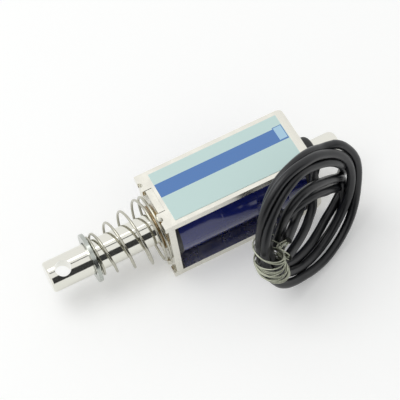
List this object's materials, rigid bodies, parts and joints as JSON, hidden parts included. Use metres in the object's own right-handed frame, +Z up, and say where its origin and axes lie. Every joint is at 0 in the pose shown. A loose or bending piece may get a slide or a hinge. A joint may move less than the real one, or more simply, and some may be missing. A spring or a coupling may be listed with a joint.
{
  "type": "push pull solenoid",
  "caption": "Small open-frame push pull solenoid with a spring-returned plunger, a cross hole in its tip, a rear push rod and coiled flying leads.",
  "frame": {"origin": "midway between the two mounting holes, on the outside of the bottom plate", "axes": "+X along the plunger, from its tip to the push rod; +Z up, away from the mounting face; -Y is the near open side, where the leads come out"},
  "size_m": [0.0583, 0.0298, 0.0271],
  "materials": {
    "plated_sheet": "bright nickel-plated sheet steel",
    "brass_tube": "drawn brass",
    "pole_steel": "turned, nickel plated",
    "bobbin_nylon": "moulded nylon",
    "copper_wire": "enamelled copper wire",
    "blue_tape": "glossy polyester film tape",
    "solder": "tin solder",
    "label_film": "printed polyester film",
    "plunger_nickel": "turned steel, bright nickel plated",
    "ring_steel": "stamped spring steel, zinc plated",
    "spring_steel": "drawn stainless spring wire",
    "bumper_rubber": "moulded rubber",
    "lead_pvc": "extruded PVC insulation",
    "tinned_strands": "tinned copper strands"
  },
  "bodies": {
    "solenoid_body": {"frame": "plated_sheet", "front_plate": "plated_sheet", "guide_tube": "brass_tube", "fixed_pole": "pole_steel", "pole_shim": "brass_tube", "bobbin": "bobbin_nylon", "winding": "copper_wire", "tape_wrap": "blue_tape", "joint_cover": "blue_tape", "solder_joints": "solder", "label": "label_film", "return_spring": "spring_steel", "lead_a_start": "lead_pvc", "lead_b_start": "lead_pvc", "lead_coil": "lead_pvc", "lead_a_end": "lead_pvc", "lead_b_end": "lead_pvc", "bare_a": "tinned_strands", "bare_b": "tinned_strands", "strand_wrap": "tinned_strands"},
    "ring_body": {"e_ring": "ring_steel"},
    "plunger_body": {"plunger": "plunger_nickel", "rear_bumper": "bumper_rubber"}
  },
  "joints": [
    {"name": "plunger_travel", "type": "slide", "parent": "solenoid_body", "child": "ring_body", "axis": [1, 0, 0], "range_m": [0, 0.01], "stiffness_N_per_m": 150, "springref_m": -0.002, "deforming": ["return_spring"]},
    {"name": "plunger_spin", "type": "hinge", "parent": "ring_body", "child": "plunger_body", "pos_m": [0, 0, 0.0077], "axis": [1, 0, 0], "continuous": true}
  ]
}
